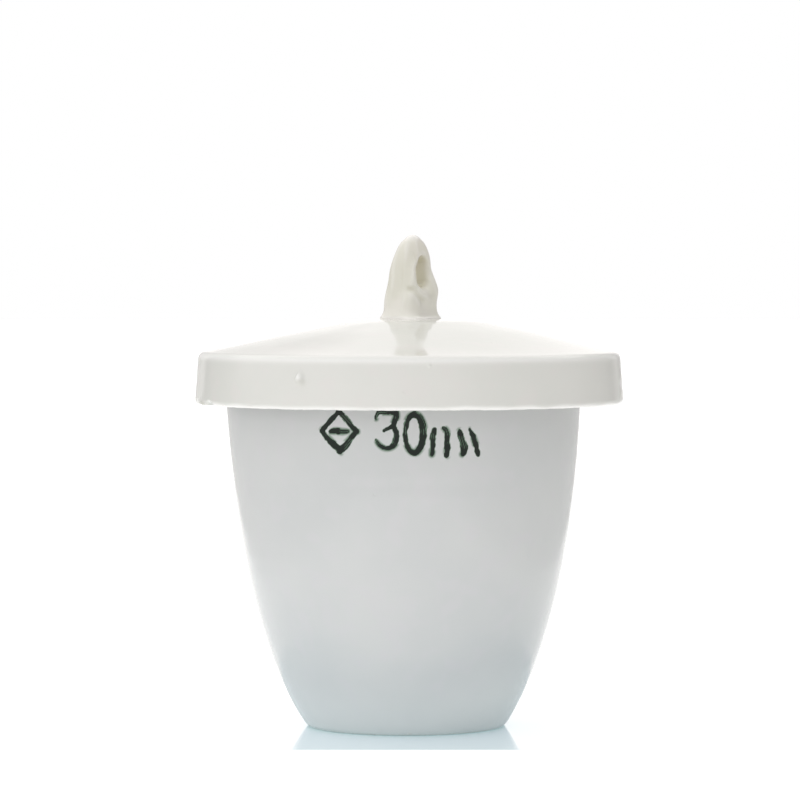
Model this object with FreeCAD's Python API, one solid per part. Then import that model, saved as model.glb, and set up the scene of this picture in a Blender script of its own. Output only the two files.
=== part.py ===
import FreeCAD, Part
import math
import os

Vector = FreeCAD.Vector
SAME_LEVEL = 0.01       # heights nearer than this are one height

# A tall porcelain crucible of nominal 30 ml, with a domed lid and a pinched loop handle.
# Millimetres. The origin is the centre of the foot, +Z is up and -Y is the marked front.

# Cup: a thin wall that sweeps up from a flat foot to a nearly upright rim
CUP_HEIGHT = 41.5
RIM_RADIUS = 20.3
FOOT_RADIUS = 11.2
FOOT_LEAN = 36.8        # degrees from upright where the wall leaves the foot
RIM_LEAN = 1.2          # degrees from upright at the rim
FOOT_PULL = 6.5         # how far the foot's lean carries into the curve
RIM_PULL = 21.8         # how far the rim's lean carries down the curve
WALL = 1.9
FLOOR = 2.3
FOOT_ROUND = 0.8
RIM_ROUND = 0.7
BOWL_ROUND = 6.0        # inside, where the floor turns into the wall
WALL_STATIONS = 12      # places along the wall where its inner face is set off from the outer

# Lid: a shallow dome with a turned-down skirt, lying a little off the cup's centre
LID_SHIFT = 0.6         # along +X
LID_TOP = 46.25         # the flat middle of the dome
LID_PAD_RADIUS = 4.5    # of the flat that the handle is luted to
LID_MIDDLE_PULL = 2.0
SHOULDER_HEIGHT = 42.45
SHOULDER_RADIUS = 23.9
SHOULDER_LEAN = 10.5    # degrees that the dome falls at its shoulder
SHOULDER_PULL = 9.0
SHOULDER_ROUND = 0.7
LID_THICKNESS = 2.0
SKIRT_BOTTOM = 36.65
SKIRT_RADIUS = 24.35
SKIRT_EDGE_ROUND = 0.6
SEAT_GAP = 0.05         # between the rim and the seat above it
SEAT_INNER_RADIUS = 16.2
LEDGE_PULL = 5.4        # how far the fall of the dome's underside carries in from the seat
SEAT_CORNER_ROUND = 0.7

# Handle: a strap of clay bent into a loop, flattened front to back towards its tip.
# Each outline is the right half of a pointed arch, as (half-width, height) above the lid:
# its foot, the two points that pull its curve, and its tip.
LOOP_SIDE = ((2.85, 0), (2.25, 4.7), (2.6, 9.4), (0.9, 9.55))
LOOP_EDGE = ((2.1, 0), (2.15, 5.4), (1.2, 9.0), (0.4, 9.55))
LOOP_EYE = ((0.95, 3.6), (1.15, 5.35), (1.1, 7.0), (0.35, 7.25))
EYE_SHIFT = 0.25        # the far leg of the strap is thinner than the near one
LOOP_ROUND = 0.3        # along the loop's edges
LOOP_SHIFT = (0.2, 0.3)  # of the loop's middle from the lid's, along +X and +Y
LOOP_TURN = 55.0        # degrees about Z, from +X to the plane of the loop
FLARE_HEIGHT = 0.7      # the smear of clay that lutes the loop to the lid
FLARE_SPREAD = 0.4
FLARE_INSET = 0.1       # how far the smear's top edge is buried in the loop


def at(radius, height):
    """A point of a section, at a radius from the axis and a height."""
    return Vector(radius, 0, height)


def leaning(degrees):
    """The unit direction of a section's line that rises outwards, so many degrees from upright."""
    return at(math.sin(math.radians(degrees)), math.cos(math.radians(degrees)))


def line(start, end):
    return Part.LineSegment(start, end).toShape()


def bezier(*points):
    """The curve from the first point to the last, pulled by those between."""
    curve = Part.BezierCurve()
    curve.setPoles(list(points))
    return curve


def turned(edges):
    """The solid that a closed section makes when it is turned about Z."""
    return Part.Face(Part.Wire(edges)).revolve(Vector(), Vector(0, 0, 1), 360)


def rounded(solid, radius, height, beyond=0):
    """The solid with its ring edges at one height, wider than the given radius, rounded."""
    rings = []
    for edge in solid.Edges:
        box = edge.BoundBox
        level = max(abs(box.ZMin - height), box.ZLength) < SAME_LEVEL
        if level and box.XMax > beyond and not isinstance(edge.Curve, Part.Line):
            rings.append(edge)
    return solid.makeFillet(radius, rings)


def cup_wall():
    """The outer wall's section, from the foot to the rim."""
    foot = at(FOOT_RADIUS, 0)
    rim = at(RIM_RADIUS, CUP_HEIGHT)
    return bezier(foot, foot + leaning(FOOT_LEAN) * FOOT_PULL, rim - leaning(RIM_LEAN) * RIM_PULL, rim)


def cup_hollow(wall):
    """What the cup is hollowed by: the outer wall set in by its thickness, above the floor."""
    points = []
    for station in range(WALL_STATIONS + 1):
        along = station / WALL_STATIONS
        slope = wall.tangent(along)[0]
        points.append(wall.value(along) + at(-slope.z, slope.x) * WALL)
    inner = Part.BSplineCurve()
    inner.interpolate(points)
    low, high = points[0], points[-1]
    over = at(high.x, CUP_HEIGHT + FLOOR)
    hollow = turned([
        line(at(0, low.z), low),
        inner.toShape(),
        line(high, over),
        line(over, at(0, over.z)),
        line(at(0, over.z), at(0, low.z)),
    ])
    hollow = hollow.common(Part.makeCylinder(RIM_RADIUS, CUP_HEIGHT + FLOOR, at(0, FLOOR)))
    return rounded(hollow, BOWL_ROUND, FLOOR)


def crucible_cup():
    wall = cup_wall()
    body = turned([
        line(at(0, 0), at(FOOT_RADIUS, 0)),
        wall.toShape(),
        line(at(RIM_RADIUS, CUP_HEIGHT), at(0, CUP_HEIGHT)),
        line(at(0, CUP_HEIGHT), at(0, 0)),
    ])
    cup = rounded(body, FOOT_ROUND, 0).cut(cup_hollow(wall))
    return rounded(cup, RIM_ROUND, CUP_HEIGHT)


def lid_cap():
    seat = CUP_HEIGHT + SEAT_GAP
    fall = at(math.cos(math.radians(SHOULDER_LEAN)), -math.sin(math.radians(SHOULDER_LEAN)))
    pad = at(LID_PAD_RADIUS, LID_TOP)
    shoulder = at(SHOULDER_RADIUS, SHOULDER_HEIGHT)
    dome = bezier(pad, pad + at(LID_MIDDLE_PULL, 0), shoulder - fall * SHOULDER_PULL, shoulder)
    skirt = at(SKIRT_RADIUS, SKIRT_BOTTOM)
    lip = skirt - at(LID_THICKNESS, 0)
    corner = at(SHOULDER_RADIUS - LID_THICKNESS, seat)
    ledge = at(SEAT_INNER_RADIUS, seat)
    vault = at(LID_PAD_RADIUS, LID_TOP - LID_THICKNESS)
    under = bezier(ledge, ledge - fall * LEDGE_PULL, vault + at(LID_MIDDLE_PULL, 0), vault)
    cap = turned([
        line(at(0, LID_TOP), pad),
        dome.toShape(),
        line(shoulder, skirt),
        line(skirt, lip),
        line(lip, corner),
        line(corner, ledge),
        under.toShape(),
        line(vault, at(0, vault.z)),
        line(at(0, vault.z), at(0, LID_TOP)),
    ])
    cap = rounded(cap, SHOULDER_ROUND, SHOULDER_HEIGHT)
    cap = rounded(cap, SKIRT_EDGE_ROUND, SKIRT_BOTTOM)
    cap = rounded(cap, SEAT_CORNER_ROUND, seat, beyond=RIM_RADIUS)
    return cap.translated(Vector(LID_SHIFT, 0, 0))


def arch(outline, depth):
    """A solid with a pointed arch's outline in the XZ plane, thickened evenly by depth along Y."""
    right = [at(*point) for point in outline]
    left = [at(-point.x, point.z) for point in reversed(right)]
    section = Part.Wire([
        bezier(*right).toShape(),
        line(right[-1], left[0]),
        bezier(*left).toShape(),
        line(left[-1], right[0]),
    ])
    return Part.Face(section).extrude(Vector(0, depth, 0)).translated(Vector(0, -depth / 2, 0))


def foot_print(grow, height):
    """The outline that the loop stands on, grown by so much all round, at a height."""
    x = LOOP_SIDE[0][0] + grow
    y = LOOP_EDGE[0][0] + grow
    corners = [Vector(-x, -y, height), Vector(x, -y, height), Vector(x, y, height), Vector(-x, y, height)]
    return Part.makePolygon(corners + corners[:1])


def softened(solid):
    """The solid with all its edges rounded, apart from those of its flat bottom."""
    edges = [edge for edge in solid.Edges if edge.BoundBox.ZMax > LOOP_ROUND]
    return solid.makeFillet(LOOP_ROUND, edges)


def lid_handle_loop():
    depth = 4 * LOOP_SIDE[0][0]
    side = arch(LOOP_SIDE, depth)
    edge = arch(LOOP_EDGE, depth).rotated(Vector(), Vector(0, 0, 1), 90)
    eye = arch(LOOP_EYE, depth).translated(Vector(EYE_SHIFT, 0, 0))
    flare = Part.makeLoft([foot_print(FLARE_SPREAD, 0), foot_print(-FLARE_INSET, FLARE_HEIGHT)], True)
    loop = softened(side.common(edge)).cut(eye).fuse(softened(flare)).removeSplitter()
    loop = loop.rotated(Vector(), Vector(0, 0, 1), LOOP_TURN)
    return loop.translated(Vector(LID_SHIFT + LOOP_SHIFT[0], LOOP_SHIFT[1], LID_TOP))


os.makedirs("parts", exist_ok=True)
for make in (crucible_cup, lid_cap, lid_handle_loop):
    solid = make()
    solid.exportStep(f"parts/{make.__name__}.step")
    print(make.__name__, "is one closed solid:", solid.isValid() and len(solid.Solids) == 1)
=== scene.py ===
import math

import bpy
import numpy as np
import openvdb
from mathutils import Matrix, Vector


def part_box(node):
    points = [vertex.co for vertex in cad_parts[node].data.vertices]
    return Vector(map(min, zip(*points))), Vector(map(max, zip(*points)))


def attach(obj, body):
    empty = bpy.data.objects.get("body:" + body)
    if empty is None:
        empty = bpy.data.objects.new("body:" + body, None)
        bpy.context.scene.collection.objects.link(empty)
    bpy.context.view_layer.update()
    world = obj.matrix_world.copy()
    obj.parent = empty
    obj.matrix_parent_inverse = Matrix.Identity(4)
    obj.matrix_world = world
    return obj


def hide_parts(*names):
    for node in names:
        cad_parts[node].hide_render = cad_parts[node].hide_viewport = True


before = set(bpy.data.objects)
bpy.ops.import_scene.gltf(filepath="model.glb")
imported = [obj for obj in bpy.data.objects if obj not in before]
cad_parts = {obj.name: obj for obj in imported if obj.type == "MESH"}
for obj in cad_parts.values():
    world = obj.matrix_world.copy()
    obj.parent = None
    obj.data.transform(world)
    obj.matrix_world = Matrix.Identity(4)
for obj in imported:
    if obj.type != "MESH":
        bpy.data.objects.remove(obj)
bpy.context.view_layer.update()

# Shapes are worked out in millimetres, in the frame's own axes, and are scaled by MM when a
# mesh is made. A turned piece's outline is a list of (radius, height).
MM = 0.001


def millimetres(node):
    """A node's lowest and highest corner, in millimetres."""
    return [np.array(corner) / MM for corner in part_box(node)]


CUP_HIGH = millimetres("crucible_cup")[1]
LID_LOW, LID_HIGH = millimetres("lid_cap")
LOOP_LOW, LOOP_HIGH = millimetres("lid_handle_loop")

# Cup
CUP_HEIGHT = CUP_HIGH[2]
RIM_RADIUS = CUP_HIGH[0]
FOOT_RADIUS = 11.2
FOOT_LEAN, FOOT_PULL = 36.8, 6.5        # degrees from upright, and how far they carry
RIM_LEAN, RIM_PULL = 1.2, 21.8
WALL = 1.9
FLOOR = 2.3
BOWL_HEIGHT = 12                        # above which the inside is nearly straight
FOOT_RING = 1.9                         # width of the ring that the cup stands on
FOOT_RECESS = 0.25                      # depth of the bare underside inside that ring
CUP_LEAN = 0.38                         # how far the rim lies to the left of the foot

# Lid
LID_MIDDLE = (LID_LOW[0] + LID_HIGH[0]) / 2
LID_TOP = LOOP_LOW[2]
SKIRT_BOTTOM = LID_LOW[2]
SKIRT_RADIUS = 24.35
SHOULDER_RADIUS, SHOULDER_HEIGHT = 23.9, 42.45
SHOULDER_LEAN, SHOULDER_PULL = 10.5, 9.0
LID_PAD_RADIUS, LID_MIDDLE_PULL = 4.5, 2.0
DOME_SWELL = 0.36                       # how much fuller the dome is in front and on its right
LID_THICKNESS = 2.0
SEAT_HEIGHT = CUP_HEIGHT + 0.05
SEAT_INNER_RADIUS, LEDGE_PULL = 16.2, 5.4

# Handle: right halves of pointed arches, as the poles of one curve of (half-width, height)
LOOP_MIDDLE = (LOOP_LOW + LOOP_HIGH) / 2
LOOP_HEIGHT = LOOP_HIGH[2] - LOOP_LOW[2]
LOOP_SIDE = ((2.85, 0), (2.25, 4.7), (2.35, 9.0), (0.6, 9.5))
LOOP_EDGE = ((2.1, 0), (2.15, 5.4), (1.1, 9.0), (0.35, 9.55))
LOOP_EYE = ((0.95, 3.60), (1.15, 5.35), (1.1, 7.0), (0.35, 7.25))
EYE_SHIFT = 0.25
LOOP_TURN = math.radians(55)
LOOP_SWAY = 0.37                        # how far the loop's tip lies to the right of its foot

# Fineness of the meshes
FINE = 0.10                             # between vertices where there is fine detail
COARSE = 0.6
RING_STEP = math.radians(1.4)           # between vertices round a turned piece
CLAY_PITCH = 0.07                       # of the grid that the handle is shaped on


# ---------------------------------------------------------------- outlines

def leaning(degrees):
    """The direction, as (radius, height), of a line that rises outwards so far from upright."""
    return np.array([math.sin(math.radians(degrees)), math.cos(math.radians(degrees))])


def bezier(poles, count=400):
    """Points along the cubic curve with these four poles."""
    start, first, second, end = (np.array(pole, float) for pole in poles)
    t = np.linspace(0, 1, count)[:, None]
    s = 1 - t
    return s**3 * start + 3 * s**2 * t * first + 3 * s * t**2 * second + t**3 * end


def straight(start, end, count=100):
    return np.linspace(start, end, count)


def lengths(path):
    """How far along a path each of its points is."""
    steps = np.linalg.norm(np.diff(path, axis=0), axis=1)
    return np.concatenate([[0], np.cumsum(steps)])


def set_in(path, depth):
    """A path moved to its left by a depth."""
    slope = np.gradient(path, axis=0)
    slope /= np.linalg.norm(slope, axis=1)[:, None]
    return path + np.column_stack([-slope[:, 1], slope[:, 0]]) * depth


def without_start(path, cut):
    """A path with its first stretch of that length cut off."""
    along = lengths(path)
    start = [np.interp(cut, along, path[:, axis]) for axis in range(path.shape[1])]
    return np.vstack([start, path[along > cut * 1.001]])


def joined(stretches, cuts):
    """One path from stretches laid end to end, with each corner eased over its cut."""
    path = stretches[0]
    for stretch, cut in zip(stretches[1:], cuts):
        before = without_start(path[::-1], cut)[::-1]
        after = without_start(stretch, cut)
        t = np.linspace(0, 1, 40)[1:-1, None]
        corner = (1 - t)**2 * before[-1] + 2 * (1 - t) * t * stretch[0] + t**2 * after[0]
        path = np.vstack([before, corner, after])
    return path


def graded(path, spacing):
    """A path with its points set anew, as far apart as spacing says for each place on it."""
    along = lengths(path)
    middles = (path[1:] + path[:-1]) / 2
    steps = np.concatenate([[0], np.cumsum(np.diff(along) / spacing(middles))])
    wanted = np.linspace(0, steps[-1], int(math.ceil(steps[-1])) + 1)
    return np.column_stack([np.interp(wanted, steps, path[:, axis]) for axis in range(path.shape[1])])


def off_angle(angle, middle):
    """How far an angle is from a middle one, the shorter way round."""
    return (angle - middle + math.pi) % (2 * math.pi) - math.pi


def ring_angles(*windows):
    """Angles round the axis, closer together in each window of (middle, half-width, step)."""
    def spacing(angle):
        step = np.full(len(angle), RING_STEP)
        for middle, half, fine in windows:
            step[np.abs(off_angle(angle[:, 0], middle)) < half] = fine
        return step
    return graded(np.linspace(0, 2 * math.pi, 4000)[:, None], spacing)[:-1, 0]


# ---------------------------------------------------------------- unevenness

def waves(seed, count, around, along, size):
    """A smooth uneven field over a turned surface, as a function of angle and height: so many
    waves, each going a whole number of times around and once per a length along."""
    rng = np.random.default_rng(seed)
    turns = rng.integers(around[0], around[1] + 1, count)
    rates = 2 * math.pi / rng.uniform(along[0], along[1], count) * rng.choice([-1, 1], count)
    phases = rng.uniform(0, 2 * math.pi, count)
    sizes = size * rng.uniform(0.5, 1.0, count) / math.sqrt(count)

    def field(angle, height):
        total = 0
        for turn, rate, phase, part in zip(turns, rates, phases, sizes):
            total = total + part * np.cos(turn * angle + rate * height + phase)
        return total
    return field


def patches(seed, count, wide, size):
    """A smooth uneven field over a plane, with patches so wide, as a function of two places."""
    rng = np.random.default_rng(seed)
    rates = math.pi / rng.uniform(wide[0], wide[1], count)
    ways = rng.uniform(0, 2 * math.pi, count)
    phases = rng.uniform(0, 2 * math.pi, count)

    def field(x, y):
        total = 0
        for rate, way, phase in zip(rates, ways, phases):
            total = total + np.cos(rate * (x * math.cos(way) + y * math.sin(way)) + phase)
        return total * size * math.sqrt(2 / count)
    return field


def bump(angle, height, radius, place, size):
    """A bump of height 1 at a place (angle, height), with its half-width and half-height. It has
    steep sides, and tapers upwards like a drop."""
    up = (height - place[1]) / size[1]
    across = off_angle(angle, place[0]) * radius / (size[0] * (1 - 0.3 * np.tanh(up)))
    return np.exp(-(across**2 + up**2)**1.5)


def ramp(value, low, high):
    """0 below low, 1 above high, and smooth between."""
    t = np.clip((value - low) / (high - low), 0, 1)
    return t * t * (3 - 2 * t)


# ---------------------------------------------------------------- meshes

def mesh_object(name, vertices, faces, materials, middle=(0, 0)):
    """A smooth-shaded object from vertices in millimetres, moved to a middle in plan."""
    points = (np.asarray(vertices, float) + [middle[0], middle[1], 0]) * MM
    mesh = bpy.data.meshes.new(name)
    mesh.from_pydata(points.tolist(), [], faces)
    mesh.shade_smooth()
    for material in materials:
        mesh.materials.append(material)
    piece = bpy.data.objects.new(name, mesh)
    bpy.context.scene.collection.objects.link(piece)
    return piece


def turned(name, outline, angles, relief, materials, middle=0.0):
    """A solid turned about Z from an outline that starts and ends on the axis, uneven by
    relief(angle, radius, height), which gives how far out and up each vertex moves."""
    radius, height = outline[1:-1, 0][:, None], outline[1:-1, 1][:, None]
    angle = angles[None, :]
    out, up = relief(angle, radius, height)
    x = (radius + out) * np.cos(angle)
    y = (radius + out) * np.sin(angle)
    z = height + up + 0 * angle
    grid = np.stack([x, y, z], axis=2).reshape(-1, 3)
    poles = [[0, 0, outline[0, 1]], [0, 0, outline[-1, 1]]]
    rings, columns = len(outline) - 2, len(angles)
    index = np.arange(rings * columns).reshape(rings, columns)
    after = np.roll(index, -1, axis=1)
    quads = np.stack([index[:-1], after[:-1], after[1:], index[1:]], axis=2).reshape(-1, 4).tolist()
    first, last = rings * columns, rings * columns + 1
    fans = [[first, b, a] for a, b in zip(index[0].tolist(), after[0].tolist())]
    fans += [[last, a, b] for a, b in zip(index[-1].tolist(), after[-1].tolist())]
    return mesh_object(name, np.vstack([grid, poles]), quads + fans, materials, (middle, 0))


def store(piece, name, values):
    """Keeps one number per vertex, which the piece's material reads by name."""
    layer = piece.data.attributes.new(name, "FLOAT", "POINT")
    layer.data.foreach_set("value", np.asarray(values, np.float32))


def places(piece):
    """The vertices of a piece, in millimetres."""
    flat = np.empty(len(piece.data.vertices) * 3, np.float32)
    piece.data.vertices.foreach_get("co", flat)
    return flat.reshape(-1, 3) / MM


# ---------------------------------------------------------------- the capacity mark

# Brush strokes on the cup's front. Each is a smooth line through points of how far across
# (from -Y towards +X), how far up, and the stroke's half-width there, all in millimetres.
MARK_TOP, MARK_BOTTOM = 37.0, 31.4
MARK_REACH = 11.0
MARK_STROKES = (
    # the numeral 3
    ((-3.10, 35.65, 0.13), (-3.00, 36.15, 0.20), (-2.70, 36.40, 0.25), (-1.75, 36.45, 0.29),
     (-0.90, 36.38, 0.27)),
    ((-0.90, 36.38, 0.26), (-0.87, 35.95, 0.28), (-1.05, 35.40, 0.26), (-1.25, 34.85, 0.23)),
    ((-1.25, 34.85, 0.25), (-1.65, 34.65, 0.22), (-2.20, 34.35, 0.17)),
    ((-1.25, 34.85, 0.20), (-0.94, 34.30, 0.27), (-0.87, 33.60, 0.31), (-1.10, 32.90, 0.30),
     (-1.65, 32.50, 0.25), (-2.30, 32.52, 0.22), (-2.85, 32.90, 0.18), (-3.15, 33.35, 0.12)),
    # the numeral 0, heavier on its right
    ((1.12, 36.12, 0.31), (0.54, 35.75, 0.28), (0.16, 34.76, 0.24), (0.11, 33.70, 0.22), (0.34, 32.72, 0.23),
     (0.69, 32.17, 0.25), (1.15, 31.98, 0.28), (1.55, 32.17, 0.31), (1.96, 32.86, 0.35), (2.14, 33.87, 0.37),
     (2.04, 34.92, 0.37), (1.70, 35.75, 0.34), (1.40, 36.05, 0.32), (1.12, 36.12, 0.31)),
    # four short strokes
    ((3.36, 34.42, 0.27), (3.29, 34.05, 0.29), (3.20, 33.15, 0.29), (3.16, 32.30, 0.26),
     (3.11, 31.75, 0.21)),
    ((4.32, 34.68, 0.12), (4.66, 34.42, 0.24), (4.84, 33.80, 0.29), (4.88, 32.80, 0.29), (4.87, 32.05, 0.31),
     (4.82, 31.68, 0.29)),
    ((6.26, 34.28, 0.23), (6.42, 33.80, 0.29), (6.65, 33.10, 0.36), (6.85, 32.45, 0.40), (6.81, 31.95, 0.33),
     (6.66, 31.75, 0.24)),
    ((7.45, 34.45, 0.12), (7.76, 33.90, 0.23), (8.07, 33.20, 0.26), (8.34, 32.50, 0.28), (8.51, 31.95, 0.28),
     (8.55, 31.75, 0.24)),
    # a plain lozenge with a bar across it
    ((-7.35, 36.40, 0.24), (-8.05, 35.75, 0.27), (-8.80, 35.00, 0.24), (-9.50, 34.25, 0.26)),
    ((-9.50, 34.25, 0.24), (-8.80, 33.50, 0.30), (-8.10, 32.80, 0.33), (-7.35, 32.05, 0.35)),
    ((-7.35, 32.05, 0.33), (-6.65, 32.75, 0.34), (-5.95, 33.50, 0.29), (-5.30, 34.25, 0.25)),
    ((-5.30, 34.25, 0.25), (-5.95, 34.95, 0.28), (-6.65, 35.70, 0.30), (-7.35, 36.40, 0.27)),
    ((-8.40, 34.20, 0.20), (-7.70, 34.28, 0.27), (-7.00, 34.22, 0.26), (-6.35, 34.28, 0.17)),
)


def through(points, count=24):
    """A smooth line through points, with so many steps between each two."""
    points = np.array(points)
    before = np.vstack([2 * points[0] - points[1], points[:-1]])
    after = np.vstack([points[1:], 2 * points[-1] - points[-2]])
    pull = (after - before) / 6
    stretches = [bezier((points[i], points[i] + pull[i], points[i + 1] - pull[i + 1], points[i + 1]), count)
                 for i in range(len(points) - 1)]
    return np.vstack([stretch[:-1] for stretch in stretches] + [points[-1:]])


def ink_strength(piece):
    """How much ink lies at each vertex of the cup's front: near 1 in a stroke, streaked along
    it where the brush ran dry, and fading out in a smear beyond its edge."""
    vertex = places(piece)
    angle = off_angle(np.arctan2(vertex[:, 1], vertex[:, 0]), -math.pi / 2)
    radius = np.hypot(vertex[:, 0], vertex[:, 1])
    spot = np.column_stack([angle * RIM_RADIUS, vertex[:, 2]])
    outside = radius > RIM_RADIUS - WALL / 2 - (CUP_HEIGHT - vertex[:, 2]) * 0.1
    near = outside & (np.abs(spot[:, 0]) < MARK_REACH)
    near = near & (spot[:, 1] > MARK_BOTTOM - 1) & (spot[:, 1] < MARK_TOP + 1)
    spot = spot[near]
    ragged = patches(31, 40, (0.2, 1.0), 0.034)
    thinned = patches(32, 30, (0.5, 2.4), 1.0)
    smeared = patches(33, 20, (0.8, 2.5), 1.0)
    strength = np.zeros(len(spot))
    for number, points in enumerate(MARK_STROKES):
        stroke = through(points)
        gap = spot[:, None, :] - stroke[None, :, :2]
        away = np.hypot(gap[..., 0], gap[..., 1])
        nearest = np.argmin(away - stroke[None, :, 2], axis=1)
        rows = np.arange(len(spot))
        away = away[rows, nearest]
        slope = np.gradient(stroke, axis=0)[nearest]
        offset = gap[rows, nearest]
        side = np.sign(slope[:, 0] * offset[:, 1] - slope[:, 1] * offset[:, 0]) * away
        half = stroke[nearest, 2]
        along = lengths(stroke[:, :2])[nearest]
        body = 1 - ramp(away + ragged(spot[:, 0], spot[:, 1]), half - 0.05, half + 0.08)
        streaks = 0.5 + 0.5 * np.cos(side * 26 + thinned(along * 0.5, side + number * 5.0))
        dry = ramp(thinned(along + number * 7.0, side * 1.5), 0.1, 1.0)
        smear = 1 - ramp(away, half * 0.9, half + 0.40)
        smear = 0.36 * smear * ramp(smeared(spot[:, 0], spot[:, 1]), -0.1, 0.8)
        ink = np.maximum(body * (1 - 0.62 * dry * streaks), smear)
        strength = np.maximum(strength, ink)
    values = np.zeros(len(vertex))
    values[near] = strength
    return values


# ---------------------------------------------------------------- materials

def link(tree, output, target):
    tree.links.new(output, target)


def node(tree, kind, **settings):
    """A new node with the given inputs or properties set by name."""
    made = tree.nodes.new(kind)
    for name, value in settings.items():
        label = name.replace("_", " ").title()
        if label in made.inputs:
            made.inputs[label].default_value = value
        else:
            setattr(made, name, value)
    return made


def blend(tree, factor, low, high):
    """A colour between two, each a colour or a socket, by a factor socket."""
    mix = node(tree, "ShaderNodeMix", data_type="RGBA")
    link(tree, factor, mix.inputs[0])
    for socket, value in ((mix.inputs[6], low), (mix.inputs[7], high)):
        if isinstance(value, tuple):
            socket.default_value = (*value, 1)
        else:
            link(tree, value, socket)
    return mix.outputs[2]


def spread(tree, value, from_low, from_high, to_low, to_high):
    """A number moved smoothly from one span to another, and held at its ends."""
    made = node(tree, "ShaderNodeMapRange", interpolation_type="SMOOTHSTEP")
    link(tree, value, made.inputs["Value"])
    numbers = {"From Min": from_low, "From Max": from_high, "To Min": to_low, "To Max": to_high}
    for name, number in numbers.items():
        made.inputs[name].default_value = number
    return made.outputs["Result"]


def times(tree, first, second):
    made = node(tree, "ShaderNodeMath", operation="MULTIPLY")
    link(tree, first, made.inputs[0])
    link(tree, second, made.inputs[1])
    return made.outputs[0]


def noise(tree, where, size, detail=2.0):
    """Cloudy noise whose patches are about so many millimetres across."""
    made = node(tree, "ShaderNodeTexNoise", scale=1 / (size * MM), detail=detail, roughness=0.55)
    link(tree, where, made.inputs["Vector"])
    return made.outputs["Fac"]


def specks(tree, where, cell, size, share):
    """1 in small round specks, one in a share of the cells so many millimetres wide."""
    scale = 1 / (cell * MM)
    made = node(tree, "ShaderNodeTexVoronoi", scale=scale)
    link(tree, where, made.inputs["Vector"])
    spot = spread(tree, made.outputs["Distance"], size / cell * 0.6, size / cell, 1, 0)
    channels = node(tree, "ShaderNodeSeparateColor")
    link(tree, made.outputs["Color"], channels.inputs[0])
    chosen = spread(tree, channels.outputs[0], 1 - share, 1 - share + 0.01, 0, 1)
    return times(tree, spot, chosen)


def relief_of(tree, fields):
    """The surface normal with fields of (height socket, depth in millimetres) pressed into it."""
    normal = None
    for height, depth in fields:
        made = node(tree, "ShaderNodeBump", distance=depth * MM, strength=1.0)
        link(tree, height, made.inputs["Height"])
        if normal is not None:
            link(tree, normal, made.inputs["Normal"])
        normal = made.outputs["Normal"]
    return normal


def attribute(tree, name):
    return node(tree, "ShaderNodeAttribute", attribute_name=name).outputs["Fac"]


def new_material(name):
    """A material's node tree, its shader and where a point is on the piece, in metres."""
    material = bpy.data.materials.new(name)
    material.use_nodes = True
    tree = material.node_tree
    shader = tree.nodes["Principled BSDF"]
    where = tree.nodes.new("ShaderNodeTexCoord").outputs["Object"]
    return material, tree, shader, where


def glaze(name, pale, deep, thin_glaze_and_highlight_colour, pooled_glaze_and_painted_shade, tint, flecks, ink=False):
    """Clear feldspar glaze over porcelain: pale and deep are its cloudy colour; the third colour is
    the body that shows on edges where the glaze has run off, and also serves as painted highlight
    and painted light; the fourth is the glaze's colour where it pools in hollows, and also serves
    as painted shade; tint is the colour of stray patches. Flecks is the share of places with a
    speck of iron."""
    material, tree, shader, where = new_material(name)
    cloud = spread(tree, noise(tree, where, 14.0), 0.3, 0.7, 0, 1)
    colour = blend(tree, cloud, pale, deep)
    mottle = spread(tree, noise(tree, where, 1.6, 3.0), 0.55, 0.8, 0, 0.35)
    colour = blend(tree, mottle, colour, deep)
    tinted = spread(tree, noise(tree, where, 2.6, 1.0), 0.5, 0.7, 0, 0.5)
    colour = blend(tree, tinted, colour, tint)
    # Painted light and shade: the first attribute lightens towards the thin-glaze colour, for thin glaze and
    # for painted highlights, and the second darkens towards the pooled colour, for pooled glaze and for
    # painted shade.
    colour = blend(tree, attribute(tree, "thin_glaze_and_painted_light"), colour, thin_glaze_and_highlight_colour)
    colour = blend(tree, attribute(tree, "pooled_glaze_and_painted_shade"), colour, pooled_glaze_and_painted_shade)
    colour = blend(tree, specks(tree, where, 5.3, 0.15, flecks), colour, (0.20, 0.16, 0.12))
    if ink:
        strength = attribute(tree, "ink")
        colour = blend(tree, spread(tree, strength, 0.02, 0.45, 0, 1), colour, (0.12, 0.21, 0.135))
        colour = blend(tree, spread(tree, strength, 0.30, 0.78, 0, 1), colour, (0.001, 0.008, 0.003))
    link(tree, colour, shader.inputs["Base Color"])
    patchy = noise(tree, where, 5.0, 3.0)
    link(tree, spread(tree, patchy, 0.3, 0.75, 0.04, 0.10), shader.inputs["Roughness"])
    peel = noise(tree, where, 1.1, 1.0)
    swell = noise(tree, where, 6.0, 1.0)
    pits = specks(tree, where, 3.2, 0.20, 0.12)
    link(tree, relief_of(tree, [(swell, 0.05), (peel, 0.006), (pits, -0.02)]), shader.inputs["Normal"])
    shader.inputs["IOR"].default_value = 1.46
    return material


def biscuit(name, pale, deep):
    """Unglazed porcelain: dry, faintly grainy, with the odd iron speck."""
    material, tree, shader, where = new_material(name)
    grain = spread(tree, noise(tree, where, 0.35, 4.0), 0.35, 0.7, 0, 1)
    colour = blend(tree, grain, pale, deep)
    colour = blend(tree, specks(tree, where, 1.6, 0.14, 0.2), colour, (0.30, 0.24, 0.18))
    link(tree, colour, shader.inputs["Base Color"])
    link(tree, spread(tree, grain, 0, 1, 0.62, 0.8), shader.inputs["Roughness"])
    link(tree, relief_of(tree, [(noise(tree, where, 0.25, 4.0), 0.02)]), shader.inputs["Normal"])
    return material


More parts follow.
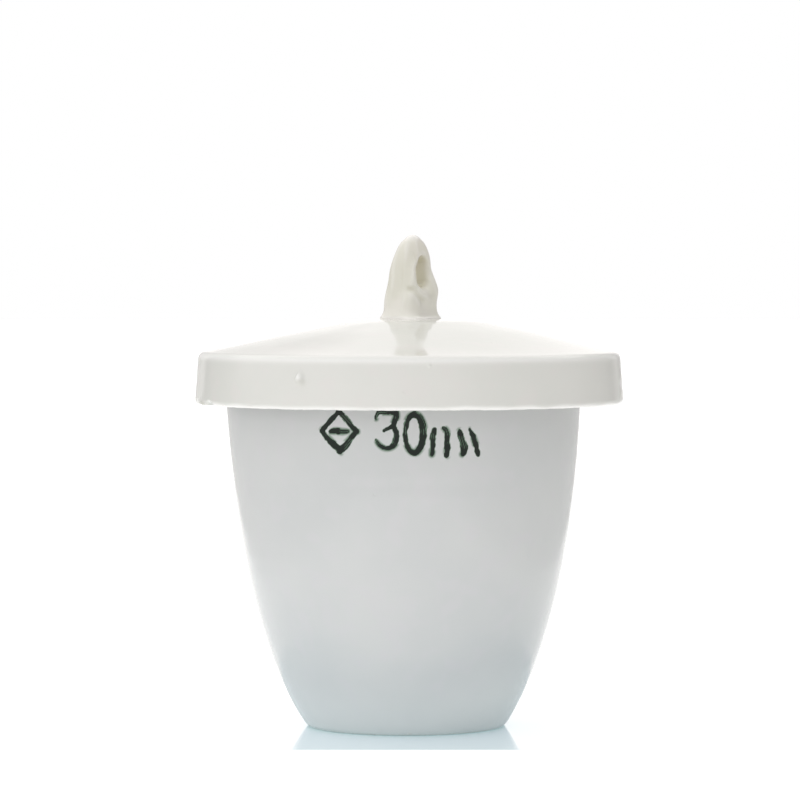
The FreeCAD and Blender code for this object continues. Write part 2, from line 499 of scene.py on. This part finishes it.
# The board, in metres from the middle of the foot: where each of its zones begins and ends.
# The first is a disc under the foot that glows teal as painted light, the next two bound the
# polished zone, tinted blue-grey as painted reflection colour, and the last three a strip that
# glows as painted light.
FOOT_EDGE = (0.0112, 0.0122)
POLISH_REACH = (0.028, 0.038)
POLISH_FRONT = (-0.0250, -0.0234)
PAINTED_GLOW_FRONT = (-0.14, -0.085)
PAINTED_GLOW_HALF_WIDTH = (0.052, 0.090)         # at the foot
PAINTED_GLOW_WIDENING = 0.11                     # for each metre further back


def studio_board(name):
    """The pale board that the crucible stands on. Round the foot it is polished, as far as a
    straight front edge, and tinted blue-grey there as painted reflection colour. A strip of it
    that widens to the back glows as painted light, less and blue-grey in the polished zone, and
    a disc under the foot glows teal as painted light in the contact shadow."""
    material, tree, shader, where = new_material(name)
    cloud = spread(tree, noise(tree, where, 300.0), 0.3, 0.7, 0, 1)
    white = blend(tree, cloud, (0.96, 0.96, 0.955), (0.97, 0.965, 0.96))
    away = node(tree, "ShaderNodeVectorMath", operation="LENGTH")
    link(tree, where, away.inputs[0])
    # Painted light: the disc under the foot, which glows teal in the contact shadow.
    under = spread(tree, away.outputs["Value"], *FOOT_EDGE, 1, 0)
    axes = node(tree, "ShaderNodeSeparateXYZ")
    link(tree, where, axes.inputs[0])
    near = times(tree, spread(tree, away.outputs["Value"], *POLISH_REACH, 1, 0),
                 spread(tree, axes.outputs["Y"], *POLISH_FRONT, 0, 1))
    aside = node(tree, "ShaderNodeMath", operation="ABSOLUTE")
    link(tree, axes.outputs["X"], aside.inputs[0])
    beside = node(tree, "ShaderNodeMath", operation="MULTIPLY_ADD")
    link(tree, axes.outputs["Y"], beside.inputs[0])
    beside.inputs[1].default_value = -PAINTED_GLOW_WIDENING
    link(tree, aside.outputs[0], beside.inputs[2])
    # The strip that glows as painted light.
    lit = times(tree, spread(tree, axes.outputs["Y"], *PAINTED_GLOW_FRONT, 0, 1),
                spread(tree, beside.outputs[0], *PAINTED_GLOW_HALF_WIDTH, 1, 0))
    # Painted reflection colour: the polished zone round the foot is tinted blue-grey under the cup's
    # reflection; its low roughness gives the real reflection.
    white = blend(tree, near, white, (0.76, 0.84, 0.87))
    link(tree, blend(tree, lit, (0.80, 0.80, 0.795), white), shader.inputs["Base Color"])
    link(tree, spread(tree, near, 0, 1, 0.6, 0.04), shader.inputs["Roughness"])
    shader.inputs["IOR"].default_value = 1.45
    # Painted light: the floor glows in the strip, less and blue-grey in the polished zone.
    glow = blend(tree, near, (0.36, 0.36, 0.36), (0.12, 0.15, 0.17))
    glow = blend(tree, lit, (0, 0, 0), glow)
    link(tree, blend(tree, under, glow, (0.13, 0.18, 0.19)), shader.inputs["Emission Color"])
    shader.inputs["Emission Strength"].default_value = 1.0
    return material


CUP_GLAZE = glaze(
    "cup_glaze", pale=(0.67, 0.68, 0.675), deep=(0.64, 0.655, 0.655), thin_glaze_and_highlight_colour=(0.77, 0.775, 0.76),
    pooled_glaze_and_painted_shade=(0.55, 0.58, 0.57), tint=(0.67, 0.665, 0.68), flecks=0.10, ink=True)
LID_GLAZE = glaze(
    "lid_glaze", pale=(0.815, 0.81, 0.775), deep=(0.785, 0.79, 0.75), thin_glaze_and_highlight_colour=(0.95, 0.945, 0.92),
    pooled_glaze_and_painted_shade=(0.52, 0.52, 0.46), tint=(0.82, 0.795, 0.77), flecks=0.015)
HANDLE_GLAZE = glaze(
    "handle_glaze", pale=(0.905, 0.865, 0.785), deep=(0.845, 0.83, 0.73), thin_glaze_and_highlight_colour=(0.985, 0.96, 0.915),
    pooled_glaze_and_painted_shade=(0.72, 0.69, 0.56), tint=(0.91, 0.86, 0.80), flecks=0.0)
BISCUIT = biscuit("bare_porcelain", (0.80, 0.79, 0.76), (0.72, 0.70, 0.66))


# ---------------------------------------------------------------- the cup

def cup_outline():
    """The cup's section, from the middle of its underside round the rim to its inner floor."""
    foot = np.array([FOOT_RADIUS, 0.0])
    rim = np.array([RIM_RADIUS, CUP_HEIGHT])
    wall = bezier((foot, foot + leaning(FOOT_LEAN) * FOOT_PULL, rim - leaning(RIM_LEAN) * RIM_PULL, rim))
    inner = set_in(wall, WALL)
    inner = inner[inner[:, 1] > FLOOR][::-1]
    inner = np.vstack([[inner[0, 0], CUP_HEIGHT], inner[inner[:, 1] < CUP_HEIGHT - 0.1]])
    ring = FOOT_RADIUS - FOOT_RING
    stretches = [
        straight((0, FOOT_RECESS), (ring - 0.5, FOOT_RECESS)),
        straight((ring - 0.5, FOOT_RECESS), (ring, 0)),
        straight((ring, 0), foot),
        wall,
        straight(rim, inner[0]),
        inner,
        straight(inner[-1], (0, FLOOR)),
    ]
    return joined(stretches, (0.2, 0.2, 0.45, 0.7, 0.7, 3.2))


def cup_spacing(middles):
    """Close together across the mark, at the rim and at the foot, and widest inside."""
    radius, height = middles[:, 0], middles[:, 1]
    spacing = np.full(len(middles), COARSE)
    outside = radius > RIM_RADIUS - WALL / 2 - (CUP_HEIGHT - height) * 0.1
    spacing[~outside & (height > BOWL_HEIGHT)] = 1.3
    spacing[outside & (height > MARK_BOTTOM - 0.4) & (height < MARK_TOP + 0.5)] = FINE
    spacing[height > CUP_HEIGHT - 0.9] = 0.16
    spacing[(height < 0.9) & (radius > FOOT_RADIUS - FOOT_RING - 1)] = 0.22
    return spacing


def make_cup():
    sway = waves(11, 8, (1, 4), (30, 90), 0.07)
    throwing = waves(12, 10, (0, 2), (1.6, 5.0), 0.012)

    def relief(angle, radius, height):
        calm = ramp(height, 0.2, 3.0) * ramp(radius, 3.0, 9.0)
        lean = CUP_LEAN * (0.66 - height / CUP_HEIGHT) * np.cos(angle) * ramp(radius, 3.0, 9.0)
        return (sway(angle, height) + throwing(angle, height)) * calm + lean, 0.0 * angle

    mark = (-math.pi / 2, (MARK_REACH - 0.6) / RIM_RADIUS, FINE / RIM_RADIUS)
    piece = turned("cup_body", graded(cup_outline(), cup_spacing), ring_angles(mark), relief,
                   [CUP_GLAZE, BISCUIT])
    vertex = places(piece)
    radius = np.hypot(vertex[:, 0], vertex[:, 1])
    angle = np.arctan2(vertex[:, 1], vertex[:, 0])
    uneven = waves(13, 12, (2, 17), (4, 40), 0.25)(angle, vertex[:, 2])
    # Painted light: the lower wall lightens towards the thin-glaze colour, partly for thinner glaze near the
    # foot, and reaches higher on the right side as painted light. The rim's paler band is thin glaze.
    painted_light_side = 2.5 * ramp(np.cos(angle), 0.0, 0.8)
    rim_bare = ramp(vertex[:, 2] + uneven * 0.3, CUP_HEIGHT - 0.45, CUP_HEIGHT) * 0.5
    foot_thin_glaze_and_painted_light = 1 - ramp(vertex[:, 2] + uneven - painted_light_side, 0.0, 7.0)
    store(piece, "thin_glaze_and_painted_light", np.maximum(rim_bare, foot_thin_glaze_and_painted_light))
    store(piece, "ink", ink_strength(piece))
    underside = (vertex[:, 2] < 0.3 + uneven * 0.2) & (radius < FOOT_RADIUS + 1)
    paint(piece, underside, 1)
    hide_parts("crucible_cup")
    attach(piece, "crucible")


def paint(piece, chosen, slot):
    """Gives a material slot to the faces whose vertices are all chosen."""
    indices = np.zeros(len(piece.data.polygons), np.int32)
    for polygon in piece.data.polygons:
        if all(chosen[vertex] for vertex in polygon.vertices):
            indices[polygon.index] = slot
    piece.data.polygons.foreach_set("material_index", indices)


# ---------------------------------------------------------------- the lid

# Flaws of the skirt, each at an (angle, height)
PIMPLE = (math.radians(240.2), 40.1)    # a run of glaze
BLISTER = (math.radians(275), 41.6)
PINHOLE = (math.radians(191), 41.5)
DRIP = (math.radians(197), 36.9)        # what has dried on the skirt's lower edge
NOTCHES = (math.radians(191.5), math.radians(203.5))    # the gaps on both sides of it


def lid_outline():
    """The lid's section, from the middle of its underside round the skirt to the dome's top."""
    fall = np.array([math.cos(math.radians(SHOULDER_LEAN)), -math.sin(math.radians(SHOULDER_LEAN))])
    pad = np.array([LID_PAD_RADIUS, LID_TOP])
    pull = np.array([LID_MIDDLE_PULL, 0.0])
    shoulder = np.array([SHOULDER_RADIUS, SHOULDER_HEIGHT])
    dome = bezier((shoulder, shoulder - fall * SHOULDER_PULL, pad + pull, pad))
    skirt = np.array([SKIRT_RADIUS, SKIRT_BOTTOM])
    lip = skirt - [LID_THICKNESS, 0]
    corner = np.array([SHOULDER_RADIUS - LID_THICKNESS, SEAT_HEIGHT])
    ledge = np.array([SEAT_INNER_RADIUS, SEAT_HEIGHT])
    vault = pad - [0, LID_THICKNESS]
    under = bezier((vault, vault + pull, ledge - fall * LEDGE_PULL, ledge))
    stretches = [
        straight((0, vault[1]), vault),
        under,
        straight(ledge, corner),
        straight(corner, lip),
        straight(lip, skirt),
        straight(skirt, shoulder),
        dome,
        straight(pad, (0, LID_TOP)),
    ]
    return joined(stretches, (0.5, 0.4, 0.7, 0.55, 0.6, 0.75, 0.5))


def lid_spacing(middles):
    """Close together at the skirt's edges and flaws, and wide elsewhere."""
    radius, height = middles[:, 0], middles[:, 1]
    spacing = np.full(len(middles), COARSE)
    skirt = radius > SHOULDER_RADIUS - LID_THICKNESS - 1
    spacing[skirt] = 0.3
    spacing[skirt & (height < SKIRT_BOTTOM + 0.9)] = 0.11
    spacing[skirt & (height > SHOULDER_HEIGHT - 1.0)] = 0.14
    spacing[(radius > SHOULDER_RADIUS - 0.2) & (np.abs(height - PIMPLE[1] - 0.3) < 1.9)] = 0.08
    return spacing


def make_lid():
    sway = waves(21, 8, (1, 4), (25, 80), 0.06)
    throwing = waves(22, 10, (0, 2), (1.5, 4.0), 0.010)
    sag = waves(23, 7, (1, 3), (20, 60), 0.05)
    nibble = waves(24, 26, (9, 120), (3, 30), 0.05)
    edge_dip = waves(25, 6, (2, 9), (5, 30), 0.06)

    def relief(angle, radius, height):
        skirt = ramp(radius, SHOULDER_RADIUS - 1.5, SHOULDER_RADIUS)
        lower = 1 - ramp(height, SKIRT_BOTTOM + 0.2, SKIRT_BOTTOM + 0.9)
        outer = ramp(radius, SKIRT_RADIUS - LID_THICKNESS * 0.6, SKIRT_RADIUS - 0.3)
        out = (sway(angle, height) + throwing(angle, height)) * ramp(radius, 6.0, 12.0)
        out = out + outer * 0.42 * bump(angle, height, radius, PIMPLE, (0.52, 0.62))
        out = out + outer * 0.10 * bump(angle, height, radius, BLISTER, (0.20, 0.20))
        out = out - outer * 0.14 * bump(angle, height, radius, PINHOLE, (0.20, 0.22))
        out = out + outer * 0.20 * bump(angle, height, radius, DRIP, (0.60, 0.55))
        up = sag(angle, radius) * ramp(height, SEAT_HEIGHT + 0.3, SEAT_HEIGHT + 1.0) * (1 - skirt)
        up = up * ramp(radius, LID_PAD_RADIUS, LID_PAD_RADIUS + 4)
        up = up + lower * (np.abs(nibble(angle, height)) + 0.5 * np.abs(edge_dip(angle, height)))
        for notch in NOTCHES:
            up = up + lower * 0.38 * np.exp(-(off_angle(angle, notch) * radius / 0.75)**4)
        rise = ramp(radius, LID_PAD_RADIUS, 9.0) * (1 - ramp(radius, 12.0, 23.0))
        rise = rise * ramp(height, SEAT_HEIGHT + 0.3, SEAT_HEIGHT + 1.0)
        up = up + DOME_SWELL * rise * ramp(np.cos(angle + 0.6), -0.6, 0.3)
        return out, up

    windows = [
        (PIMPLE[0], math.radians(2.4), 0.07 / SKIRT_RADIUS),
        (BLISTER[0], math.radians(1), 0.07 / SKIRT_RADIUS),
        (DRIP[0], math.radians(10), 0.12 / SKIRT_RADIUS),
    ]
    piece = turned("lid_shell", graded(lid_outline(), lid_spacing), ring_angles(*windows), relief,
                   [LID_GLAZE, BISCUIT], LID_MIDDLE)
    vertex = places(piece) - [LID_MIDDLE, 0, 0]
    angle = np.arctan2(vertex[:, 1], vertex[:, 0])
    radius = np.hypot(vertex[:, 0], vertex[:, 1])
    uneven = waves(26, 16, (3, 40), (2, 30), 0.5)(angle, vertex[:, 2])
    low = 1 - ramp(vertex[:, 2] + 0.25 * uneven, SKIRT_BOTTOM + 0.15, SKIRT_BOTTOM + 0.6)
    # Painted highlight: a pale band along the shoulder.
    shoulder = np.exp(-((vertex[:, 2] - SHOULDER_HEIGHT + 0.35) / 0.35)**2) * ramp(radius, 22, 23)
    beside = np.abs(off_angle(angle, DRIP[0])) * radius
    low = low * ramp(beside, 2.0, 3.5)
    outside = radius > SHOULDER_RADIUS - 0.3
    # Painted highlight on the pimple's top, and painted shade in a crescent below it.
    pimple_painted_highlight = outside * bump(angle, vertex[:, 2], radius, (PIMPLE[0], PIMPLE[1] + 0.15), (0.32, 0.36))
    below = (PIMPLE[0] + 0.008, PIMPLE[1] - 0.35)
    pimple_painted_shade = outside * bump(angle, vertex[:, 2], radius, below, (0.55, 0.45))
    pit = outside * bump(angle, vertex[:, 2], radius, PINHOLE, (0.16, 0.20))
    # Painted shade: the skirt's lower edge is darker at the dried drip, along its underside.
    drip_painted_shade = outside * bump(angle, vertex[:, 2], radius, (DRIP[0], SKIRT_BOTTOM), (2.3, 0.45))
    store(piece, "thin_glaze_and_painted_light", np.clip(low + shoulder + pimple_painted_highlight, 0, 1))
    store(piece, "pooled_glaze_and_painted_shade", np.clip(0.35 * pimple_painted_shade * (1 - pimple_painted_highlight) + pit + 0.9 * drip_painted_shade, 0, 1))
    resting = (vertex[:, 2] < SKIRT_BOTTOM + 0.22 + 0.08 * uneven) & (radius < SKIRT_RADIUS - 0.35)
    paint(piece, resting & (beside > 3.0), 1)
    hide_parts("lid_cap")
    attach(piece, "lid")


# ---------------------------------------------------------------- the handle

def either(a, b, soft):
    """The distance to either of two shapes, blended softly where they meet."""
    near = np.maximum(soft - np.abs(a - b), 0) / soft
    return np.minimum(a, b) - near * near * soft / 4


def both(a, b, soft):
    """The distance to what two shapes share, with soft edges."""
    return -either(-a, -b, soft)


def arch(across, height, poles):
    """The distance to a pointed arch that stands on its foot, from how far across it a point
    is and how high. The arch's top isn't closed here."""
    side = bezier(poles)
    half = np.interp(height, side[:, 1], side[:, 0])
    rising = side[:, 1] + np.arange(len(side)) * 1e-9
    slope = np.interp(height, side[:, 1], np.gradient(side[:, 0], rising))
    return (np.hypot(across, 0.15) - half) / np.sqrt(1 + np.clip(slope, -3, 3)**2)


def crease(x, z, start, end, width):
    """1 along a line on the loop's side, fading to 0 either way from it."""
    start, end = np.array(start), np.array(end)
    along = ((x - start[0]) * (end[0] - start[0]) + (z - start[1]) * (end[1] - start[1]))
    along = np.clip(along / np.sum((end - start)**2), 0, 1)
    nearest = (start[0] + along * (end[0] - start[0]), start[1] + along * (end[1] - start[1]))
    away = np.hypot(x - nearest[0], z - nearest[1])
    return np.exp(-(away / width)**2)


def swell(across, height, place, size):
    """1 at a place on the clay's surface, fading to 0 over its size across and up."""
    return np.exp(-((across - place[0]) / size[0])**2 - ((height - place[1]) / size[1])**2)


def squeezed_clay(x, y, z):
    """The distance to the strap before its eye is opened, dented by the fingers that shaped it."""
    blunt = ramp(-x, 0.0, 1.2) * ramp(-y, 0.0, 1.2)
    body = both(arch(x, z, LOOP_SIDE), arch(y, z, LOOP_EDGE), 0.8 + 1.0 * blunt)
    near, far = ramp(-x, 0.4, 1.5), ramp(x, 0.4, 1.5)
    front, back = ramp(-y, 0.1, 0.9), ramp(y, 0.1, 0.9)
    dents = (
        (0.36, near * swell(y, z, (-0.55, 4.8), (0.70, 2.2))),
        (-0.14, near * swell(y, z, (0.85, 5.0), (0.40, 3.0))),
        (0.20, far * swell(y, z, (0.3, 4.6), (0.9, 2.4))),
        (-0.24, far * front * swell(x, z, (2.6, 3.1), (1.2, 1.2))),
        (0.10, far * front * swell(x, z, (2.6, 6.0), (1.4, 1.0))),
        (0.22, front * crease(x, z, (-1.6, 3.3), (-0.5, 2.0), 0.50)),
        (-0.12, front * crease(x, z, (-0.6, 3.2), (0.7, 2.2), 0.60)),
        (0.10, back * crease(x, z, (-1.2, 2.6), (0.6, 3.4), 0.30)),
        (0.12, back * crease(x, z, (0.9, 8.4), (0.2, 7.7), 0.25)),
    )
    for depth, dent in dents:
        body = body + depth * dent
    top = np.sqrt((x / 1.1)**2 + (y / 0.8)**2 + ((z - LOOP_HEIGHT + 0.75) / 0.85)**2) - 0.85
    return either(both(body, z - LOOP_HEIGHT + 0.2, 0.7), top, 0.4)


def clay_loop(x, y, z):
    """The distance to the handle, in its own axes: x across the loop, y through its eye, z up."""
    sway = LOOP_SWAY * (z / LOOP_HEIGHT - 0.4)
    x = x - sway * math.cos(LOOP_TURN)
    y = y + sway * math.sin(LOOP_TURN)
    body = squeezed_clay(x, y, z)
    low, high = LOOP_EYE[0][1], LOOP_EYE[-1][1]
    edge = bezier(LOOP_EYE)
    eye = np.hypot(x - EYE_SHIFT, 0.15) - np.interp(z, edge[:, 1], edge[:, 0])
    eye = both(eye, np.abs(z - (low + high) / 2) - (high - low) / 2, 0.9)
    mouth = ramp(np.abs(y), 0.3, 1.5) * (1 - ramp(z, 5.6, 6.8))
    body = both(body, -eye, 0.5 + 0.5 * mouth)
    return body + 0.035 * np.sin(z * 1.7 + 0.8) * np.sin(x * 1.1 + y * 2.0 + 0.4)


def luted(x, y, z, body):
    """The loop with the smear of clay at its foot, fading out on the lid."""
    foot_x, foot_y = LOOP_SIDE[0][0], LOOP_EDGE[0][0]
    out_x, out_y = np.abs(x) - foot_x + 0.5, np.abs(y) - foot_y + 0.5
    plan = np.hypot(np.maximum(out_x, 0), np.maximum(out_y, 0))
    plan = plan + np.minimum(np.maximum(out_x, out_y), 0) - 0.5
    turn = np.arctan2(y, x)
    reach = 0.32 + 0.05 * np.sin(3 * turn + 1) + 0.03 * np.sin(7 * turn + 2)
    smeared = either(body, z * 0.6, 0.8)
    return both(both(smeared, plan - reach, 0.12), -z - 0.1, 0.02)


def bending(field, reach=5):
    """How sharply the clay bends out (above 0) or in (below 0) at each place of the grid, per mm."""
    total = -6 * field
    for axis in range(3):
        total = total + np.roll(field, reach, axis) + np.roll(field, -reach, axis)
    return total / (reach * CLAY_PITCH)**2


def make_handle():
    reach = np.array([LOOP_SIDE[0][0] + 1.0, LOOP_EDGE[0][0] + 1.0])
    axes = [
        np.arange(-reach[0], reach[0], CLAY_PITCH),
        np.arange(-reach[1], reach[1], CLAY_PITCH),
        np.arange(-0.4, LOOP_HEIGHT + 0.5, CLAY_PITCH),
    ]
    x, y, z = np.meshgrid(*axes, indexing="ij")
    field = luted(x, y, z, clay_loop(x, y, z))
    grid = openvdb.FloatGrid(1.0)
    grid.copyFromArray(field.astype(np.float32))
    points, quads = grid.convertToQuads(0.0)
    local = points * CLAY_PITCH + [axis[0] for axis in axes]
    cos, sin = math.cos(LOOP_TURN), math.sin(LOOP_TURN)
    placed = np.column_stack([local[:, :2] @ np.array([[cos, sin], [-sin, cos]]), local[:, 2] + LID_TOP])
    piece = mesh_object("handle_loop", placed, quads.tolist(), [HANDLE_GLAZE], LOOP_MIDDLE[:2])
    height = local[:, 2]
    # Painted highlight at the loop's tip.
    tip_painted_highlight = ramp(height, LOOP_HEIGHT - 0.9, LOOP_HEIGHT)
    # Towards the foot: a painted highlight along the flare and painted light on the lower faces, partly also
    # thinner glaze there.
    foot = (1 - ramp(height, 0.0, 0.35)) + 0.9 * (1 - ramp(height, 0.5, 4.0))
    nearest = np.clip(np.rint(points).astype(int), 0, np.array(field.shape) - 1)
    bend = bending(field)[tuple(nearest.T)]
    # Painted shade inside the loop's eye.
    eye = (np.abs(local[:, 0] - EYE_SHIFT) < 1.4) * (1 - ramp(np.abs(local[:, 1]), 0.9, 1.8))
    eye = eye * ramp(height, 3.0, 3.8) * (1 - ramp(height, 6.8, 7.7))
    # Painted shade in folds and creases, partly also glaze pooling there.
    folds_pooled_and_shaded = ramp(-bend, 0.1, 1.0) * ramp(height, 1.6, 2.4)
    # Ridges are paler, partly from glaze thinning on them and partly as painted highlight.
    store(piece, "thin_glaze_and_painted_light", np.clip(0.8 * tip_painted_highlight + 0.5 * foot + 0.35 * ramp(bend, 0.5, 1.6), 0, 1))
    store(piece, "pooled_glaze_and_painted_shade", np.clip(0.5 * eye + 0.4 * folds_pooled_and_shaded, 0, 1))
    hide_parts("lid_handle_loop")
    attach(piece, "lid")


# ---------------------------------------------------------------- the studio

CAMERA_DISTANCE, CAMERA_HEIGHT, CAMERA_SIDE = 0.476, 0.0534, -0.00045
CAMERA_DIP = math.radians(1.97)
CAMERA_LENS = 188.6
FLOOR_LEVEL = -0.00002                  # just clear of the foot
ROOM_WALL = (0.53, 0.53, 0.53)
ROOM_CEILING = (0.74, 0.74, 0.73)
ROOM_DIM = (0.22, 0.22, 0.22)
KEY_SIDE = (-0.53, -0.45, 0.72)         # the way towards the brightest part of the room
KEY_COLOUR = (0.98, 0.98, 0.98)
SHEET_COLOUR = (1.19, 1.16, 1.14)
# The sheet's brightness from left to right, as (X of the direction, level)
SHEET_STOPS = ((-0.62, 0), (-0.52, 0.55), (-0.15, 0.54), (-0.09, 0.52), (-0.05, 1), (0.10, 1),
               (0.28, 0.25), (0.50, 0.40), (0.62, 0))
STRIP_COLOUR = (1.52, 1.48, 1.45)       # of the strip of light above the sheet


def make_floor():
    half = 3.0
    mesh = bpy.data.meshes.new("floor")
    corners = [(-half, -half), (half, -half), (half, half), (-half, half)]
    mesh.from_pydata([(x, y, FLOOR_LEVEL) for x, y in corners], [], [(0, 1, 2, 3)])
    mesh.materials.append(studio_board("studio_board"))
    floor = bpy.data.objects.new("floor", mesh)
    bpy.context.scene.collection.objects.link(floor)


def soft_light(name, place, target, size, power, colour):
    """A large square softbox at a place, facing a target."""
    light = bpy.data.lights.new(name, "AREA")
    light.shape = "SQUARE"
    light.size = size
    light.energy = power
    light.color = colour
    lamp = bpy.data.objects.new(name, light)
    lamp.location = place
    direction = np.array(target) - np.array(place)
    flat = math.hypot(direction[0], direction[1])
    dip, heading = math.atan2(flat, -direction[2]), math.atan2(direction[1], direction[0])
    lamp.rotation_euler = (dip, 0, heading - math.pi / 2)
    bpy.context.scene.collection.objects.link(lamp)


def make_world():
    """A pale room: a white sheet straight behind with a strip of light above it, dimmer walls
    beside it, the right one in shade, and the brightest side to the upper left. The camera
    sees plain white."""
    world = bpy.data.worlds.new("tent")
    bpy.context.scene.world = world
    world.use_nodes = True
    tree = world.node_tree
    tree.nodes.clear()
    where = tree.nodes.new("ShaderNodeTexCoord").outputs["Generated"]
    axes = node(tree, "ShaderNodeSeparateXYZ")
    link(tree, where, axes.inputs[0])
    colour = blend(tree, spread(tree, axes.outputs["Z"], 0.0, 0.8, 0, 1), ROOM_WALL, ROOM_CEILING)
    low = spread(tree, axes.outputs["Z"], 0.3, 0.7, 1, 0)
    shaded = spread(tree, axes.outputs["X"], 0.25, 0.8, 0, 0.8)
    colour = blend(tree, times(tree, low, shaded), colour, ROOM_DIM)
    behind = spread(tree, axes.outputs["Y"], 0.23, 0.31, 0, 1)
    colour = blend(tree, times(tree, low, behind), colour, ROOM_DIM)
    facing = node(tree, "ShaderNodeVectorMath", operation="DOT_PRODUCT")
    link(tree, where, facing.inputs[0])
    facing.inputs[1].default_value = KEY_SIDE
    colour = blend(tree, spread(tree, facing.outputs["Value"], 0.2, 1.0, 0, 1), colour, KEY_COLOUR)
    rising = spread(tree, axes.outputs["Z"], 0.50, 0.60, 0, 1)
    falling = spread(tree, axes.outputs["Z"], 0.82, 0.92, 1, 0)
    colour = blend(tree, times(tree, times(tree, rising, falling), behind), colour, STRIP_COLOUR)
    across = spread(tree, axes.outputs["X"], -1, 1, 0, 1)
    across.node.interpolation_type = "LINEAR"
    levels = tree.nodes.new("ShaderNodeValToRGB")
    link(tree, across, levels.inputs[0])
    for _ in range(len(SHEET_STOPS) - 2):
        levels.color_ramp.elements.new(0.5)
    for stop, (place, level) in zip(levels.color_ramp.elements, SHEET_STOPS):
        stop.position = place / 2 + 0.5
        stop.color = (level, level, level, 1)
    colour = blend(tree, times(tree, levels.outputs[0], behind), colour, SHEET_COLOUR)
    lit = tree.nodes.new("ShaderNodeBackground")
    link(tree, colour, lit.inputs["Color"])
    seen = node(tree, "ShaderNodeBackground", color=(1, 1, 1, 1), strength=1.0)
    path = tree.nodes.new("ShaderNodeLightPath")
    choice = tree.nodes.new("ShaderNodeMixShader")
    link(tree, path.outputs["Is Camera Ray"], choice.inputs[0])
    link(tree, lit.outputs[0], choice.inputs[1])
    link(tree, seen.outputs[0], choice.inputs[2])
    output = tree.nodes.new("ShaderNodeOutputWorld")
    link(tree, choice.outputs[0], output.inputs["Surface"])


def make_camera():
    camera = bpy.data.cameras.new("camera")
    camera.lens = CAMERA_LENS
    camera.sensor_width = 36
    camera.clip_start = 0.01
    view = bpy.data.objects.new("camera", camera)
    view.location = (CAMERA_SIDE, -CAMERA_DISTANCE, CAMERA_HEIGHT)
    view.rotation_euler = (math.pi / 2 - CAMERA_DIP, 0, 0)
    bpy.context.scene.collection.objects.link(view)
    bpy.context.scene.camera = view


make_camera()
make_cup()
make_lid()
make_handle()
make_floor()
make_world()
soft_light("overhead", (0, 0.1, 0.8), (0, 0, 0.03), 1.2, 0.9, (1.0, 0.985, 0.96))
bpy.context.scene.view_settings.view_transform = "Standard"
